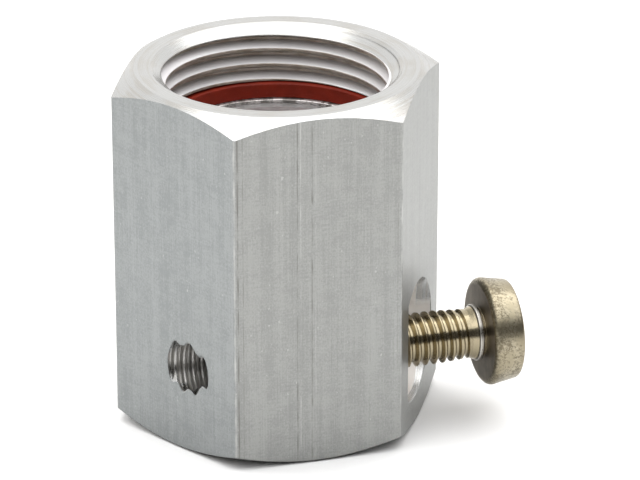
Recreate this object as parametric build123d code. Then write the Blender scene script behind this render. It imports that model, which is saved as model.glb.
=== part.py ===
from build123d import *
import os
from math import radians, tan

# Hexagonal sight glass fitting, 3/4 inch. Millimetres, +Z up, origin at the centre of the bottom face.
# Two flats lie across Y and two corners on X; the lock screw lies along X, with its head at +X.

# ---- fitting body ----
ACROSS_FLATS = 32.0
BODY_HEIGHT = 40.0
CORNER_RADIUS = 0.45
TOP_FACE_RADIUS = 15.45
BOTTOM_FACE_RADIUS = 15.55
CHAMFER_ANGLE = 30.0
SPIGOT_BORE_RADIUS = 10.0
SHOULDER_HEIGHT = 24.0
POCKET_RADIUS = 13.3
COUNTERSINK_RADIUS = 13.63
COUNTERSINK_DEPTH = 1.1

# ---- 3/4 inch parallel pipe thread, 14 turns per inch, 55 degrees ----
PIPE_PITCH = 25.4 / 14
PIPE_MINOR_RADIUS = 12.06
PIPE_MAJOR_RADIUS = 13.22
PIPE_FLANK_ANGLE = 27.5
PIPE_CREST_FLAT = 0.3
PIPE_THREAD_BOTTOM = 33.6
PIPE_THREAD_TURN = 240.0
PIPE_CORE_BOTTOM = 28.0
BORE_SEAM_TURN = 46.0

# ---- window stack, from the shoulder upwards ----
GASKET_RADIUS = 13.1
LOWER_GASKET_BORE = 10.2
LOWER_GASKET_THICKNESS = 2.2
GLASS_RADIUS = 11.95
GLASS_THICKNESS = 5.0
GLASS_EDGE_BREAK = 0.3
SLIP_WASHER_RADIUS = 11.95
SLIP_WASHER_BORE = 11.3
SLIP_WASHER_THICKNESS = 0.45
UPPER_GASKET_BORE = 11.7
UPPER_GASKET_THICKNESS = 1.8
GASKET_EDGE_RADIUS = 0.2

# ---- cross hole for the lock screw, M6 x 1, beside the spigot bore ----
CROSS_OFFSET = 9.5
CROSS_HEIGHT = 10.0
SCREW_PITCH = 1.0
SCREW_MAJOR_RADIUS = 3.0
SCREW_THREAD_DEPTH = 0.54
SCREW_FLANK_ANGLE = 30.0
SCREW_CREST_FLAT = 0.125
SCREW_THREAD_TURN = 90.0
THREAD_CLEARANCE = 0.06
SPOTFACE_RADIUS = 6.7
SPOTFACE_FLOOR = 10.95

# ---- lock screw, drawn where it stands partly unscrewed ----
HEAD_UNDERSIDE = 20.3
SCREW_LENGTH = 12.0
TIP_CHAMFER = 0.6
NECK_RADIUS = 2.72
THREAD_FADE = 3.5
NECK_LENGTH = 1.6
NECK_FLARE_RADIUS = 2.95
HEAD_RADIUS = 6.07
HEAD_HEIGHT = 3.5
HEAD_TAPER = 10.0
HEAD_INNER_ROUND = 0.65
HEAD_OUTER_ROUND = 0.35
RECESS_LENGTH = 4.6
RECESS_WIDTH = 1.15
RECESS_DEPTH = 2.0
RECESS_TAPER = 12.0
SCREW_WASHER_RADIUS = 3.12
SCREW_WASHER_THICKNESS = 0.5
SCREW_WASHER_EDGE_RADIUS = 0.14
SCREW_WASHER_CLEARANCE = 0.05
SCREW_WASHER_GAP = 0.4

# ---- cutting allowances ----
BEYOND = 2.0
GROOVE_LIP = 0.08
BLOCK_RADIUS = 26.0
BLOCK_TOP = 46.0


def revolved(outline):
    """Solid of revolution about Z from (radius, height) points."""
    return revolve(Plane.XZ * make_face(Polyline(*outline, close=True)), Axis.Z)


def upright_cylinder(radius, bottom, top):
    """Cylinder about Z between two heights."""
    return Pos(0, 0, bottom) * Cylinder(radius, top - bottom, align=(Align.CENTER, Align.CENTER, Align.MIN))


def ring(outer, inner, bottom, thickness, edge_radius):
    """Flat ring about Z with softly rounded edges."""
    body = upright_cylinder(outer, bottom, bottom + thickness)
    body -= upright_cylinder(inner, bottom - thickness, bottom + 2 * thickness)
    return fillet(body.edges().filter_by(GeomType.CIRCLE), edge_radius)


def helical_groove(tip_radius, tip_half, mouth_radius, mouth_half, pitch, start, length):
    """Right-hand helical cutter about Z, a trapezoid in the axial plane, from its tip to its mouth."""
    outline = [
        (tip_radius, start - tip_half),
        (mouth_radius, start - mouth_half),
        (mouth_radius, start + mouth_half),
        (tip_radius, start + tip_half),
    ]
    section = Plane.XZ * make_face(Polyline(*outline, close=True))
    path = Helix(pitch, length, (tip_radius + mouth_radius) / 2, center=(0, 0, start))
    return sweep(section, path=path, is_frenet=True)


def pipe_thread_groove():
    """Cutter for the pipe thread, from inside the pocket to above the top face."""
    slope = tan(radians(PIPE_FLANK_ANGLE))
    lip_radius = PIPE_MINOR_RADIUS - GROOVE_LIP
    lip_half = PIPE_CREST_FLAT / 2 + slope * (PIPE_MAJOR_RADIUS - lip_radius)
    start = PIPE_THREAD_BOTTOM - PIPE_PITCH
    length = BODY_HEIGHT + BEYOND - start
    groove = helical_groove(
        PIPE_MAJOR_RADIUS, PIPE_CREST_FLAT / 2, lip_radius, lip_half, PIPE_PITCH, start, length
    )
    return Rot(0, 0, PIPE_THREAD_TURN) * groove


def tapped_groove(start, length):
    """Cutter for the M6 thread in the cross hole, centred on the screw's ridges."""
    slope = tan(radians(SCREW_FLANK_ANGLE))
    tip_radius = SCREW_MAJOR_RADIUS + THREAD_CLEARANCE
    mouth_radius = tip_radius - SCREW_THREAD_DEPTH - GROOVE_LIP
    tip_half = SCREW_CREST_FLAT / 2
    mouth_half = tip_half + slope * (tip_radius - mouth_radius)
    groove = helical_groove(tip_radius, tip_half, mouth_radius, mouth_half, SCREW_PITCH, start, length)
    return on_cross_axis(Rot(0, 0, SCREW_THREAD_TURN) * groove)


def screw_groove(start, length):
    """Cutter for the groove between the screw's ridges, half a pitch on from the tapped groove."""
    slope = tan(radians(SCREW_FLANK_ANGLE))
    crest_radius = SCREW_MAJOR_RADIUS - THREAD_CLEARANCE
    crest_half = (SCREW_PITCH - SCREW_CREST_FLAT) / 2
    root_radius = crest_radius - SCREW_THREAD_DEPTH
    root_half = crest_half - slope * SCREW_THREAD_DEPTH
    mouth_radius = crest_radius + GROOVE_LIP
    mouth_half = crest_half + slope * GROOVE_LIP
    shifted = start + SCREW_PITCH / 2
    groove = helical_groove(root_radius, root_half, mouth_radius, mouth_half, SCREW_PITCH, shifted, length)
    return Rot(0, 0, SCREW_THREAD_TURN) * groove


def on_cross_axis(shape):
    """Turns a shape built about Z onto the cross hole's axis, +Z becoming +X."""
    return Pos(0, -CROSS_OFFSET, CROSS_HEIGHT) * Rot(0, 90, 0) * shape


def hex_bar():
    """Chamfered length of hexagonal bar."""
    flats = RegularPolygon(ACROSS_FLATS / 2, 6, major_radius=False)
    bar = fillet(extrude(flats, BODY_HEIGHT).edges().filter_by(Axis.Z), CORNER_RADIUS)
    envelope_radius = ACROSS_FLATS
    slope = tan(radians(CHAMFER_ANGLE))
    envelope = revolved([
        (0, 0),
        (BOTTOM_FACE_RADIUS, 0),
        (envelope_radius, slope * (envelope_radius - BOTTOM_FACE_RADIUS)),
        (envelope_radius, BODY_HEIGHT - slope * (envelope_radius - TOP_FACE_RADIUS)),
        (TOP_FACE_RADIUS, BODY_HEIGHT),
        (0, BODY_HEIGHT),
    ])
    return bar & envelope


def main_bore():
    """Everything turned out along Z: spigot bore, window pocket, thread core and countersink."""
    return Rot(0, 0, BORE_SEAM_TURN) * revolved([
        (0, -BEYOND),
        (SPIGOT_BORE_RADIUS, -BEYOND),
        (SPIGOT_BORE_RADIUS, SHOULDER_HEIGHT),
        (POCKET_RADIUS, SHOULDER_HEIGHT),
        (POCKET_RADIUS, PIPE_THREAD_BOTTOM),
        (PIPE_MINOR_RADIUS, PIPE_THREAD_BOTTOM),
        (PIPE_MINOR_RADIUS, BODY_HEIGHT - COUNTERSINK_DEPTH),
        (COUNTERSINK_RADIUS, BODY_HEIGHT),
        (COUNTERSINK_RADIUS, BODY_HEIGHT + BEYOND),
        (0, BODY_HEIGHT + BEYOND),
    ])


def threaded_block():
    """Oversize round block holding both threads cut blind, so that later cuts trim whole threads."""
    reach = round(ACROSS_FLATS / 2) * SCREW_PITCH
    core_radius = SCREW_MAJOR_RADIUS - SCREW_THREAD_DEPTH + THREAD_CLEARANCE
    block = upright_cylinder(BLOCK_RADIUS, -BEYOND, BLOCK_TOP)
    pipe_core = upright_cylinder(PIPE_MINOR_RADIUS, PIPE_CORE_BOTTOM, BLOCK_TOP + BEYOND)
    block -= Rot(0, 0, BORE_SEAM_TURN) * pipe_core
    block -= pipe_thread_groove()
    block -= on_cross_axis(upright_cylinder(core_radius, -reach - 2 * SCREW_PITCH, reach))
    return block - tapped_groove(-reach - SCREW_PITCH, 2 * reach - SCREW_PITCH)


def hex_body():
    """Threaded block bored, spotfaced under the screw head and trimmed to the hexagonal bar."""
    spotface = on_cross_axis(upright_cylinder(SPOTFACE_RADIUS, SPOTFACE_FLOOR, BLOCK_RADIUS + BEYOND))
    body = threaded_block() - main_bore() - spotface
    return body & hex_bar()


def glass_disc():
    """Flat window with broken edges."""
    bottom = SHOULDER_HEIGHT + LOWER_GASKET_THICKNESS
    disc = upright_cylinder(GLASS_RADIUS, bottom, bottom + GLASS_THICKNESS)
    return chamfer(disc.edges().filter_by(GeomType.CIRCLE), GLASS_EDGE_BREAK)


def lower_gasket():
    """Soft ring between the shoulder and the window."""
    return ring(GASKET_RADIUS, LOWER_GASKET_BORE, SHOULDER_HEIGHT, LOWER_GASKET_THICKNESS, GASKET_EDGE_RADIUS)


def slip_washer():
    """Thin ring on the window, under the upper gasket."""
    bottom = SHOULDER_HEIGHT + LOWER_GASKET_THICKNESS + GLASS_THICKNESS
    edge_radius = SLIP_WASHER_THICKNESS / 5
    return ring(SLIP_WASHER_RADIUS, SLIP_WASHER_BORE, bottom, SLIP_WASHER_THICKNESS, edge_radius)


def upper_gasket():
    """Soft ring that the screwed-in pipe end presses on."""
    bottom = SHOULDER_HEIGHT + LOWER_GASKET_THICKNESS + GLASS_THICKNESS + SLIP_WASHER_THICKNESS
    return ring(GASKET_RADIUS, UPPER_GASKET_BORE, bottom, UPPER_GASKET_THICKNESS, GASKET_EDGE_RADIUS)


def driver_recess():
    """Plain crossed recess, sunk from the head's outer face."""
    bar = Rectangle(RECESS_LENGTH, RECESS_WIDTH)
    arm = extrude(bar, RECESS_DEPTH, dir=(0, 0, -1), taper=RECESS_TAPER)
    return Pos(0, 0, HEAD_UNDERSIDE + HEAD_HEIGHT) * (arm + Rot(0, 0, 90) * arm)


def screw_head():
    """Tapered drum head about Z, wider on the inner side, with both edges rounded."""
    narrowing = tan(radians(HEAD_TAPER)) * HEAD_HEIGHT
    head = revolved([
        (0, HEAD_UNDERSIDE),
        (HEAD_RADIUS, HEAD_UNDERSIDE),
        (HEAD_RADIUS - narrowing, HEAD_UNDERSIDE + HEAD_HEIGHT),
        (0, HEAD_UNDERSIDE + HEAD_HEIGHT),
    ])
    rims = head.edges().filter_by(GeomType.CIRCLE).sort_by(Axis.Z)
    head = fillet(rims[0], HEAD_INNER_ROUND)
    rims = head.edges().filter_by(GeomType.CIRCLE).sort_by(Axis.Z)
    head = fillet(rims[-1], HEAD_OUTER_ROUND)
    return head - driver_recess()


def screw_shank():
    """Threaded blank about Z, cut blind and then trimmed to the tip chamfer, fading ridges and neck."""
    crest_radius = SCREW_MAJOR_RADIUS - THREAD_CLEARANCE
    tip = HEAD_UNDERSIDE - SCREW_LENGTH
    shank_end = HEAD_UNDERSIDE - NECK_LENGTH
    flare_end = HEAD_UNDERSIDE - SCREW_WASHER_GAP - SCREW_WASHER_THICKNESS - SCREW_WASHER_CLEARANCE
    groove_start = round(tip) - 2 * SCREW_PITCH
    blank = upright_cylinder(crest_radius, groove_start - 2 * SCREW_PITCH, HEAD_UNDERSIDE + HEAD_HEIGHT / 4)
    blank -= screw_groove(groove_start, shank_end - SCREW_PITCH / 2 - groove_start)
    envelope = revolved([
        (0, tip),
        (crest_radius - TIP_CHAMFER, tip),
        (crest_radius, tip + TIP_CHAMFER),
        (crest_radius, shank_end - THREAD_FADE),
        (NECK_RADIUS, shank_end),
        (NECK_FLARE_RADIUS, flare_end),
        (NECK_RADIUS, flare_end),
        (NECK_RADIUS, HEAD_UNDERSIDE + HEAD_HEIGHT / 4),
        (0, HEAD_UNDERSIDE + HEAD_HEIGHT / 4),
    ])
    return blank & envelope


def lock_screw():
    """Screw along the cross axis: threaded shank with flared neck, and head."""
    return on_cross_axis(screw_shank() + screw_head())


def screw_washer():
    """Thin washer, loose on the screw's neck between the thread and the head."""
    bore = NECK_RADIUS + SCREW_WASHER_CLEARANCE
    bottom = HEAD_UNDERSIDE - SCREW_WASHER_GAP - SCREW_WASHER_THICKNESS
    washer = ring(SCREW_WASHER_RADIUS, bore, bottom, SCREW_WASHER_THICKNESS, SCREW_WASHER_EDGE_RADIUS)
    return on_cross_axis(washer)


PIECES = {
    "hex_body": hex_body,
    "glass_disc": glass_disc,
    "lower_gasket": lower_gasket,
    "slip_washer": slip_washer,
    "upper_gasket": upper_gasket,
    "lock_screw": lock_screw,
    "screw_washer": screw_washer,
}

os.makedirs("parts", exist_ok=True)
for node, build in PIECES.items():
    export_step(build(), f"parts/{node}.step")
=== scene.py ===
import bpy
from math import radians, cos, sin, pi
from mathutils import Euler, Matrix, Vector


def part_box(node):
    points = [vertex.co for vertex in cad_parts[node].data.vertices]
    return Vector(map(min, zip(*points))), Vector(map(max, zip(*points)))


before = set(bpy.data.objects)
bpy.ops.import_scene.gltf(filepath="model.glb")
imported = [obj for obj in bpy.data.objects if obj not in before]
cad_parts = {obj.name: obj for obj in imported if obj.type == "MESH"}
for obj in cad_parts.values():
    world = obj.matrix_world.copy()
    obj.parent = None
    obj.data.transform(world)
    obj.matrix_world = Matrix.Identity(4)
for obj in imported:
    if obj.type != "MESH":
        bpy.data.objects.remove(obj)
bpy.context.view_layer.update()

# Sight glass fitting. Metres; the materials work in millimetres of each piece's own space.
# ---- places read from the frame ----
MM = 1000.0
BODY_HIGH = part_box("hex_body")[1]
SCREW_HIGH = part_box("lock_screw")[1]
WASHER_LOW, WASHER_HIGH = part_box("screw_washer")
HALF_FLATS = BODY_HIGH.y * MM
BODY_HEIGHT = BODY_HIGH.z * MM
SCREW_AXIS_Y = (WASHER_LOW.y + WASHER_HIGH.y) / 2 * MM
SCREW_AXIS_Z = (WASHER_LOW.z + WASHER_HIGH.z) / 2 * MM
SCREW_HEAD_HEIGHT = 3.5
HEAD_UNDERSIDE = SCREW_HIGH.x * MM - SCREW_HEAD_HEIGHT

# ---- where one finish ends and the next begins: millimetres, close to the CAD's own edges ----
CORNER_X = 9.24
FLATS_REACH = HALF_FLATS - 0.08
COUNTERSINK_BOTTOM = BODY_HEIGHT - 1.07
BOTTOM_FACE = 0.01
CHAMFER_RADIUS = 15.3
PIPE_THREAD_BOTTOM = 33.5
PIPE_THREAD_RADIUS = 13.45
CROSS_HOLE_TOP = SCREW_AXIS_Z + 3.15
SPOTFACE_FLOOR = 10.93
HEAD_ZONE_START = HEAD_UNDERSIDE - 0.04
HEAD_FACE_RADIUS = 5.0
HEAD_SIDE_RADIUS = 5.7
CLEAR_GLASS_RADIUS = 11.6

# ---- softened edges: radii in millimetres ----
PLAIN_BEVEL = 0.10
THREAD_BEVEL = 0.20
LOWER_BODY_BEVEL = 0.26
SCREW_BEVEL = 0.06
WASHER_BEVEL = 0.05

# ---- colours: linear red, green and blue; a pair holds the two that a pattern mixes ----
# each side's flats get their own tone for how the light falls on that side: painted light on the middle
# flats, painted shade on the left and right ones
LEFT_FLATS_PAINTED_SHADE = ((0.245, 0.258, 0.258), (0.320, 0.333, 0.333))
MIDDLE_FLATS_PAINTED_LIGHT = ((0.262, 0.266, 0.258), (0.345, 0.349, 0.338))
RIGHT_FLATS_PAINTED_SHADE = ((0.250, 0.255, 0.250), (0.325, 0.330, 0.320))
FLATS_SPECK = (0.55, 0.55, 0.54)
DARK_LINE = (0.19, 0.188, 0.178)
# colour of the bright lines: a painted highlight
PAINTED_HIGHLIGHT_LINE = (0.46, 0.46, 0.45)
TURNED_TINTS = ((0.392, 0.397, 0.396), (0.362, 0.357, 0.342))
THREAD_STAINS = ((0.60, 0.56, 0.50), (0.46, 0.41, 0.34))
# painted light: the thread's upward-facing flanks made pale, as lit from above
UPWARD_FLANKS_PAINTED_LIGHT = (0.74, 0.73, 0.74)
BORE_COLOUR = (0.52, 0.51, 0.49)
# painted highlight: the spotface walls made much brighter than the bore, copying the light on them
SPOTFACE_PAINTED_LIGHT = (0.88, 0.85, 0.82)
HEAD_SIDE_BRASS = ((0.315, 0.278, 0.195), (0.41, 0.370, 0.275))
HEAD_PIT_BROWN = (0.12, 0.098, 0.062)
# painted shade: the head's end faces, underside included, darker than its side
HEAD_FACES_PAINTED_SHADE = ((0.125, 0.098, 0.066), (0.175, 0.142, 0.098))
THREAD_BRASS = ((0.285, 0.240, 0.160), (0.37, 0.325, 0.225))
SCREW_WASHER_BRASS = ((0.45, 0.435, 0.40), (0.56, 0.54, 0.50))
SILICONE_REDS = ((0.160, 0.0125, 0.0045), (0.215, 0.017, 0.006))
SILICONE_DUST = (0.30, 0.12, 0.10)
SLIP_WASHER_GREYS = ((0.30, 0.285, 0.27), (0.78, 0.76, 0.75))
GLASS_TINT = (0.93, 0.91, 0.905, 1.0)
FLOOR_TINT = (0.86, 0.86, 0.86, 1.0)
ROOM_TINT = (1.0, 0.985, 0.965, 1.0)

# ---- lines along the front flat: place and width in millimetres, darkness (bright below zero); the bright ones are painted highlights along both corners and beside dark draw marks ----
DRAW_MARKS_AND_HIGHLIGHTS = [
    (-9.26, 0.17, -0.8),
    (-8.92, 0.14, 1.2),
    (-8.35, 0.10, 0.6),
    (-2.38, 0.13, 0.9),
    (-2.02, 0.13, -0.6),
    (-0.75, 0.20, 0.7),
    (-0.35, 0.08, -0.5),
    (5.70, 0.07, 0.35),
    (8.75, 0.06, 0.6),
    (9.24, 0.16, -0.8),
]

# ---- camera: metres and degrees, with the sensor and the lens in millimetres ----
CAMERA_FROM_AXIS = 0.41485
CAMERA_HEIGHT = 0.19673
CAMERA_AZIMUTH = -15.85
CAMERA_YAW = -16.49
CAMERA_DIP = 23.135
CAMERA_CLIP_START = 0.01
SENSOR_WIDTH = 36.0
LENS = 231.4

# ---- floor and light: sizes in metres, light as surface brightness ----
FLOOR_SIZE = 6.0
OVERHEAD_PLACE = (0.0, -0.16, 0.55)
OVERHEAD_WIDTH = 1.2
OVERHEAD_DEPTH = 0.80
OVERHEAD_RADIANCE = 2.6
ROOM_DIM = 0.08
ROOM_WALL = 1.6
ROOM_DIM_UP_TO = -0.25
ROOM_WALL_FROM = 0.35


class Graph:
    """Builds one node material with short calls."""

    def __init__(self, name):
        self.material = bpy.data.materials.new(name)
        self.material.use_nodes = True
        self.tree = self.material.node_tree
        self.tree.nodes.clear()

    def add(self, kind, inputs=None, **settings):
        node = self.tree.nodes.new(kind)
        for key, value in settings.items():
            setattr(node, key, value)
        for key, value in (inputs or {}).items():
            self.feed(node.inputs[key], value)
        return node

    def feed(self, socket, value):
        if isinstance(value, bpy.types.NodeSocket):
            self.tree.links.new(value, socket)
        else:
            socket.default_value = value

    def maths(self, operation, first, second=0.0):
        return self.add("ShaderNodeMath", {0: first, 1: second}, operation=operation).outputs[0]

    def weigh(self, *shares):
        """Sum of (value, share) pairs."""
        total = 0.0
        for value, share in shares:
            total = self.maths("ADD", total, self.maths("MULTIPLY", value, share))
        return total

    def step(self, value, low, high, reverse=False):
        """0 below low and 1 above high, smooth between; the other way round when reversed."""
        ends = {"From Min": low, "From Max": high, "To Min": float(reverse), "To Max": float(not reverse)}
        node = self.add("ShaderNodeMapRange", {"Value": value, **ends}, interpolation_type="SMOOTHSTEP")
        return node.outputs["Result"]

    def remap(self, value, low, high, to_low, to_high):
        ends = {"From Min": low, "From Max": high, "To Min": to_low, "To Max": to_high}
        return self.add("ShaderNodeMapRange", {"Value": value, **ends}).outputs["Result"]

    def spread(self, noise, to_low, to_high):
        """Stretches the middle of a noise, where most of it lies, over a range."""
        return self.remap(noise, 0.3, 0.7, to_low, to_high)

    def zone(self, value, edge, reverse=False, soft=0.05):
        """1 above the edge and 0 below it, or the other way round when reversed."""
        return self.step(value, edge - soft, edge + soft, reverse)

    def point(self):
        """The surface point in millimetres of the piece's own space."""
        coordinates = self.add("ShaderNodeTexCoord").outputs["Object"]
        inputs = {0: coordinates, "Scale": MM}
        return self.add("ShaderNodeVectorMath", inputs, operation="SCALE").outputs[0]

    def places(self):
        """The surface point, whole and split: (vector, x, y, z)."""
        vector = self.point()
        parts = self.add("ShaderNodeSeparateXYZ", {0: vector}).outputs
        return vector, parts[0], parts[1], parts[2]

    def distance(self, first, second):
        """Distance from an axis, given the two offsets from it."""
        squares = self.maths("ADD", self.maths("POWER", first, 2.0), self.maths("POWER", second, 2.0))
        return self.maths("SQRT", squares)

    def normal_z(self):
        coordinates = self.add("ShaderNodeTexCoord").outputs["Normal"]
        return self.add("ShaderNodeSeparateXYZ", {0: coordinates}).outputs[2]

    def stretched(self, vector, x, y, z):
        return self.add("ShaderNodeVectorMath", {0: vector, 1: (x, y, z)}, operation="MULTIPLY").outputs[0]

    def noise(self, vector, scale, detail=2.0, roughness=0.5):
        inputs = {"Vector": vector, "Scale": scale, "Detail": detail, "Roughness": roughness}
        return self.add("ShaderNodeTexNoise", inputs).outputs["Fac"]

    def line_noise(self, value, scale, detail=2.0):
        """Noise that changes with one number only, for turned rings and polish marks."""
        inputs = {"W": value, "Scale": scale, "Detail": detail}
        return self.add("ShaderNodeTexNoise", inputs, noise_dimensions="1D").outputs["Fac"]

    def blend(self, share, first, second):
        """Mixes two colours."""
        node = self.add("ShaderNodeMix", data_type="RGBA")
        self.feed(node.inputs[0], share)
        for socket, colour in ((node.inputs[6], first), (node.inputs[7], second)):
            self.feed(socket, colour if isinstance(colour, bpy.types.NodeSocket) else (*colour, 1.0))
        return node.outputs[2]

    def mix(self, share, first, second):
        """Mixes two numbers."""
        node = self.add("ShaderNodeMix", data_type="FLOAT")
        for socket, value in zip(node.inputs[0:1] + node.inputs[2:4], (share, first, second)):
            self.feed(socket, value)
        return node.outputs[0]

    def bump(self, height, distance, strength=1.0, normal=None):
        """Height is 0 to 1, and distance is its depth in millimetres."""
        inputs = {"Height": height, "Distance": distance / MM, "Strength": strength}
        if normal is not None:
            inputs["Normal"] = normal
        return self.add("ShaderNodeBump", inputs).outputs["Normal"]

    def bevel(self, radius):
        """Softened edges; the radius is in millimetres."""
        metres = self.maths("MULTIPLY", radius, 1 / MM)
        return self.add("ShaderNodeBevel", {"Radius": metres}, samples=4).outputs["Normal"]

    def finish(self, **inputs):
        """Principled surface; underscores in the names stand for spaces."""
        named = {key.replace("_", " "): value for key, value in inputs.items()}
        shader = self.add("ShaderNodeBsdfPrincipled", named)
        self.add("ShaderNodeOutputMaterial", {"Surface": shader.outputs["BSDF"]})
        return self.material


def front_marks_and_highlights(g, vector, x, y):
    """Lines along the front flat: dark above zero and bright below it, of wandering strength; the bright
    ones are painted highlights.
    """
    lines = 0.0
    for place, width, darkness in DRAW_MARKS_AND_HIGHLIGHTS:
        offset = g.maths("ABSOLUTE", g.maths("SUBTRACT", x, place))
        line = g.maths("MULTIPLY", g.step(offset, 0.0, width, reverse=True), darkness)
        lines = g.maths("ADD", lines, line)
    front = g.step(y, 0.0, 1.0, reverse=True)
    wander = g.remap(g.noise(g.stretched(vector, 1.2, 1.2, 0.45), 1.0, 3.0), 0.35, 0.65, 0.1, 1.15)
    return g.maths("MULTIPLY", g.maths("MULTIPLY", lines, front), wander)


def drawn_flats(g, vector, x, y):
    """Height, colour and roughness of the drawn bar's flats."""
    fine = g.noise(g.stretched(vector, 7.0, 7.0, 0.10), 1.0, 3.0)
    broad = g.noise(g.stretched(vector, 1.1, 1.1, 0.03), 1.0, 2.0)
    mottle = g.noise(vector, 0.45, 5.0, 0.62)
    grain = g.noise(g.stretched(vector, 1.0, 1.0, 0.7), 5.5, 3.0, 0.65)
    scuffs = g.noise(g.stretched(vector, 0.5, 0.5, 6.0), 1.0, 3.0, 0.6)
    specks = g.step(g.noise(g.stretched(vector, 1.0, 1.0, 0.6), 2.6, 1.0), 0.74, 0.80)
    lines = front_marks_and_highlights(g, vector, x, y)
    tone = g.weigh((mottle, 0.30), (grain, 0.30), (fine, 0.15), (broad, 0.13), (scuffs, 0.12))
    light_and_dark = g.step(tone, 0.41, 0.58)
    # one tone pair per side: painted light and shade by side
    painted_side_shading = (LEFT_FLATS_PAINTED_SHADE, MIDDLE_FLATS_PAINTED_LIGHT, RIGHT_FLATS_PAINTED_SHADE)
    left, middle, right = (g.blend(light_and_dark, *pair) for pair in painted_side_shading)
    colour = g.blend(g.zone(x, -CORNER_X, soft=0.2), left, middle)
    colour = g.blend(g.zone(x, CORNER_X, soft=0.2), colour, right)
    colour = g.blend(g.maths("MULTIPLY", specks, 0.4), colour, FLATS_SPECK)
    colour = g.blend(g.step(lines, 0.0, 1.0), colour, DARK_LINE)
    # bright lines: painted highlights along the corners and beside draw marks
    colour = g.blend(g.step(g.maths("MULTIPLY", lines, -1.0), 0.0, 1.0), colour, PAINTED_HIGHLIGHT_LINE)
    height = g.weigh((fine, 0.3), (grain, 0.5), (lines, -0.6))
    return height, colour, g.spread(mottle, 0.38, 0.50)


def turned_faces(g, vector, radius):
    """Height, colour and roughness of the faces cut on the lathe."""
    rings = g.line_noise(radius, 9.0, 3.0)
    fine_rings = g.line_noise(radius, 42.0, 1.0)
    tint = g.weigh((g.noise(vector, 0.25, 2.0), 0.5), (g.line_noise(radius, 2.2, 3.0), 0.5))
    colour = g.blend(g.step(tint, 0.45, 0.6), *TURNED_TINTS)
    height = g.weigh((rings, 0.6), (fine_rings, 0.4))
    return height, colour, g.spread(rings, 0.20, 0.30)


def bored_walls(g, vector, x, z, in_thread):
    """Height, colour and roughness of the threads, bores and spotface; the thread's upward flanks and the
    spotface walls are painted lighter, painted highlights of the overhead light.
    """
    rings = g.maths("MULTIPLY", g.line_noise(z, 14.0, 2.0), 0.4)
    stain = g.step(g.noise(vector, 0.6, 3.0), 0.40, 0.65)
    upward = g.step(g.normal_z(), 0.4, 0.8)
    in_spotface = g.zone(x, SPOTFACE_FLOOR, soft=0.02)
    # upward flanks of the thread painted light: a painted highlight
    thread = g.blend(upward, g.blend(stain, *THREAD_STAINS), UPWARD_FLANKS_PAINTED_LIGHT)
    # spotface walls painted bright: a painted highlight
    colour = g.blend(in_thread, g.blend(in_spotface, BORE_COLOUR, SPOTFACE_PAINTED_LIGHT), thread)
    plain_rough = g.mix(in_spotface, 0.38, 0.58)
    rough = g.mix(in_thread, plain_rough, g.mix(upward, 0.36, 0.62))
    return rings, colour, rough


def flats_zone(g, x, y, wall):
    """1 on the six flats: upright walls as far out as the hexagon's sides."""
    slope = radians(30)
    across = g.weigh((g.maths("ABSOLUTE", x), cos(slope)), (g.maths("ABSOLUTE", y), sin(slope)))
    reach = g.maths("MAXIMUM", across, g.maths("ABSOLUTE", y))
    return g.maths("MULTIPLY", g.zone(reach, FLATS_REACH, soft=0.04), wall)


def turned_zone(g, z, radius, slanted):
    """1 on what the lathe cut: both end faces, the countersink and the outer chamfers."""
    top = g.zone(z, COUNTERSINK_BOTTOM, soft=0.01)
    bottom = g.zone(z, BOTTOM_FACE, reverse=True, soft=0.01)
    chamfers = g.maths("MULTIPLY", g.zone(radius, CHAMFER_RADIUS), slanted)
    return g.maths("MAXIMUM", g.maths("MAXIMUM", top, bottom), chamfers)


def aluminium():
    """Drawn flats, turned ends and bored walls, told apart by where the surface lies."""
    g = Graph("drawn_aluminium")
    vector, x, y, z = g.places()
    radius = g.distance(x, y)
    slanted = g.zone(g.maths("ABSOLUTE", g.normal_z()), 0.2, soft=0.1)
    on_flats = flats_zone(g, x, y, g.maths("SUBTRACT", 1.0, slanted))
    on_turned = turned_zone(g, z, radius, slanted)
    above_bottom = g.zone(z, PIPE_THREAD_BOTTOM)
    in_thread = g.maths("MULTIPLY", above_bottom, g.zone(radius, PIPE_THREAD_RADIUS, reverse=True))
    flat_height, flat_colour, flat_rough = drawn_flats(g, vector, x, y)
    turn_height, turn_colour, turn_rough = turned_faces(g, vector, radius)
    bore_height, bore_colour, bore_rough = bored_walls(g, vector, x, z, in_thread)
    height = g.mix(on_flats, g.mix(on_turned, bore_height, turn_height), flat_height)
    colour = g.blend(on_flats, g.blend(on_turned, bore_colour, turn_colour), flat_colour)
    rough = g.mix(on_flats, g.mix(on_turned, bore_rough, turn_rough), flat_rough)
    upper_bevel = g.mix(in_thread, PLAIN_BEVEL, THREAD_BEVEL)
    softness = g.mix(g.zone(z, CROSS_HOLE_TOP, reverse=True), upper_bevel, LOWER_BODY_BEVEL)
    normal = g.bump(height, 0.012, 0.8, g.bevel(softness))
    return g.finish(Base_Color=colour, Metallic=1.0, Roughness=rough, Normal=normal)


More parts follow.
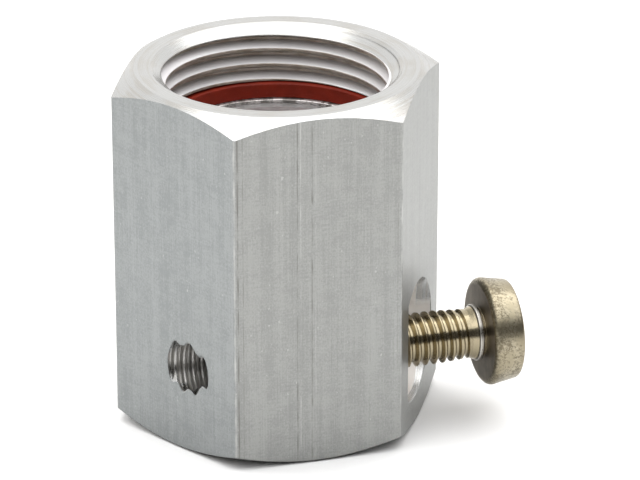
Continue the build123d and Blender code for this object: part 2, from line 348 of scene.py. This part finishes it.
def screw_brass():
    """Pitted side of the head, faces painted darker as painted shade, and a polished thread."""
    g = Graph("screw_brass")
    vector, x, y, z = g.places()
    radius = g.distance(g.maths("SUBTRACT", y, SCREW_AXIS_Y), g.maths("SUBTRACT", z, SCREW_AXIS_Z))
    on_head = g.zone(x, HEAD_ZONE_START, soft=0.03)
    on_side = g.maths("MULTIPLY", on_head, g.step(radius, HEAD_FACE_RADIUS, HEAD_SIDE_RADIUS))
    patches = g.noise(vector, 0.55, 4.0, 0.65)
    pits = g.noise(vector, 3.6, 5.0, 0.75)
    # dark spots grow denser towards the head's underside
    crowding = g.remap(x, HEAD_UNDERSIDE, HEAD_UNDERSIDE + SCREW_HEAD_HEIGHT, 0.07, 0.0)
    pitted = g.maths("ADD", g.weigh((pits, 0.6), (patches, 0.4)), crowding)
    dark_pits = g.step(pitted, 0.49, 0.61)
    pale = g.blend(g.step(patches, 0.35, 0.65), *HEAD_SIDE_BRASS)
    side_colour = g.blend(g.maths("MULTIPLY", dark_pits, 0.8), pale, HEAD_PIT_BROWN)
    # painted shade on the head's end faces and underside
    shaded_face_colour = g.blend(g.step(patches, 0.4, 0.7), *HEAD_FACES_PAINTED_SHADE)
    polish = g.line_noise(x, 20.0, 2.0)
    thread_colour = g.blend(polish, *THREAD_BRASS)
    colour = g.blend(on_head, thread_colour, g.blend(on_side, shaded_face_colour, side_colour))
    side_rough = g.remap(dark_pits, 0.0, 1.0, 0.29, 0.40)
    rough = g.mix(on_head, 0.21, g.mix(on_side, 0.36, side_rough))
    height = g.mix(on_head, g.maths("MULTIPLY", polish, 0.3), g.mix(on_side, patches, pitted))
    normal = g.bump(height, 0.04, 0.7, g.bevel(SCREW_BEVEL))
    return g.finish(Base_Color=colour, Metallic=1.0, Roughness=rough, Normal=normal)


def washer_brass():
    """Pale, lightly worn brass."""
    g = Graph("washer_brass")
    vector = g.point()
    wear = g.noise(vector, 2.2, 3.0)
    colour = g.blend(wear, *SCREW_WASHER_BRASS)
    normal = g.bump(g.noise(vector, 9.0, 2.0), 0.006, 0.5, g.bevel(WASHER_BEVEL))
    return g.finish(Base_Color=colour, Metallic=1.0, Roughness=g.spread(wear, 0.26, 0.36), Normal=normal)


def red_silicone():
    """Cloudy dark red rubber with a little dust."""
    g = Graph("red_silicone")
    vector = g.point()
    cloud = g.noise(vector, 0.5, 3.0)
    dust = g.step(g.noise(vector, 7.0, 2.0), 0.66, 0.74)
    colour = g.blend(g.step(cloud, 0.3, 0.7), *SILICONE_REDS)
    colour = g.blend(g.maths("MULTIPLY", dust, 0.25), colour, SILICONE_DUST)
    normal = g.bump(g.noise(vector, 3.0, 3.0), 0.02, 0.4)
    rough = g.spread(cloud, 0.42, 0.55)
    return g.finish(Base_Color=colour, Roughness=rough, Normal=normal, Specular_IOR_Level=0.2)


def slip_metal():
    """Blotched grey metal of the thin ring on the window."""
    g = Graph("slip_metal")
    vector = g.point()
    blotch = g.noise(vector, 0.9, 4.0, 0.7)
    colour = g.blend(g.step(blotch, 0.42, 0.58), *SLIP_WASHER_GREYS)
    normal = g.bump(g.noise(vector, 5.0, 2.0), 0.01, 0.5)
    return g.finish(Base_Color=colour, Metallic=0.8, Roughness=g.spread(blotch, 0.3, 0.5), Normal=normal)


def window_glass():
    """Clear glass under a thin film of dust, ground rough near its rim."""
    g = Graph("window_glass")
    vector, x, y, _ = g.places()
    ground = g.zone(g.distance(x, y), CLEAR_GLASS_RADIUS)
    dust = g.remap(g.noise(vector, 0.35, 3.0), 0.35, 0.7, 0.0, 1.0)
    rough = g.weigh((ground, 0.45), (dust, 0.05))
    clear = g.remap(dust, 0.0, 1.0, 0.90, 0.78)
    normal = g.bump(g.noise(vector, 6.0, 2.0), 0.02, g.maths("MULTIPLY", ground, 0.6))
    return g.finish(Base_Color=GLASS_TINT, Roughness=rough, IOR=1.47,
                    Transmission_Weight=clear, Normal=normal)


MATERIALS = {
    "hex_body": aluminium,
    "glass_disc": window_glass,
    "lower_gasket": red_silicone,
    "slip_washer": slip_metal,
    "upper_gasket": red_silicone,
    "lock_screw": screw_brass,
    "screw_washer": washer_brass,
}


def dress_nodes():
    """Gives every CAD node its finish; pieces that share a finish share one material."""
    made = {}
    for node, finish in MATERIALS.items():
        if finish not in made:
            made[finish] = finish()
        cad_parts[node].material_slots[0].material = made[finish]


def add_floor():
    """Plain pale floor."""
    bpy.ops.mesh.primitive_plane_add(size=FLOOR_SIZE, location=(0, 0, 0))
    floor = bpy.context.object
    floor.name = "floor"
    g = Graph("pale_floor")
    floor.data.materials.append(g.finish(Base_Color=FLOOR_TINT, Roughness=0.9, Specular_IOR_Level=0.1))


def add_softbox(name, place, width, depth, radiance):
    """Horizontal soft light facing down, set by its surface brightness."""
    light = bpy.data.lights.new(name, "AREA")
    light.shape = "RECTANGLE"
    light.size = width
    light.size_y = depth
    light.energy = radiance * pi * width * depth
    holder = bpy.data.objects.new(name, light)
    holder.location = place
    bpy.context.scene.collection.objects.link(holder)


def add_room():
    """World light: a pale wall behind the fitting and a dim room on the camera's side."""
    world = bpy.data.worlds.new("room")
    world.use_nodes = True
    tree = world.node_tree
    direction = tree.nodes.new("ShaderNodeTexCoord").outputs["Generated"]
    split = tree.nodes.new("ShaderNodeSeparateXYZ")
    tree.links.new(direction, split.inputs[0])
    ramp = tree.nodes.new("ShaderNodeMapRange")
    ramp.interpolation_type = "SMOOTHSTEP"
    ramp.inputs["From Min"].default_value = ROOM_DIM_UP_TO
    ramp.inputs["From Max"].default_value = ROOM_WALL_FROM
    ramp.inputs["To Min"].default_value = ROOM_DIM
    ramp.inputs["To Max"].default_value = ROOM_WALL
    tree.links.new(split.outputs[1], ramp.inputs["Value"])
    background = tree.nodes["Background"]
    background.inputs["Color"].default_value = ROOM_TINT
    tree.links.new(ramp.outputs["Result"], background.inputs["Strength"])
    bpy.context.scene.world = world


def add_lights():
    """The room, and an overhead softbox that lies mostly on the camera's side of the fitting."""
    add_softbox("overhead", OVERHEAD_PLACE, OVERHEAD_WIDTH, OVERHEAD_DEPTH, OVERHEAD_RADIANCE)
    add_room()


def add_camera():
    """Looks down at the fitting from the front and a little to its left."""
    data = bpy.data.cameras.new("camera")
    data.sensor_width = SENSOR_WIDTH
    data.lens = LENS
    data.clip_start = CAMERA_CLIP_START
    camera = bpy.data.objects.new("camera", data)
    azimuth = radians(CAMERA_AZIMUTH)
    camera.location = (CAMERA_FROM_AXIS * sin(azimuth), -CAMERA_FROM_AXIS * cos(azimuth), CAMERA_HEIGHT)
    camera.rotation_euler = Euler((radians(90 - CAMERA_DIP), 0, radians(CAMERA_YAW)))
    bpy.context.scene.collection.objects.link(camera)
    bpy.context.scene.camera = camera


dress_nodes()
add_floor()
add_lights()
add_camera()
bpy.context.scene.view_settings.view_transform = "Standard"
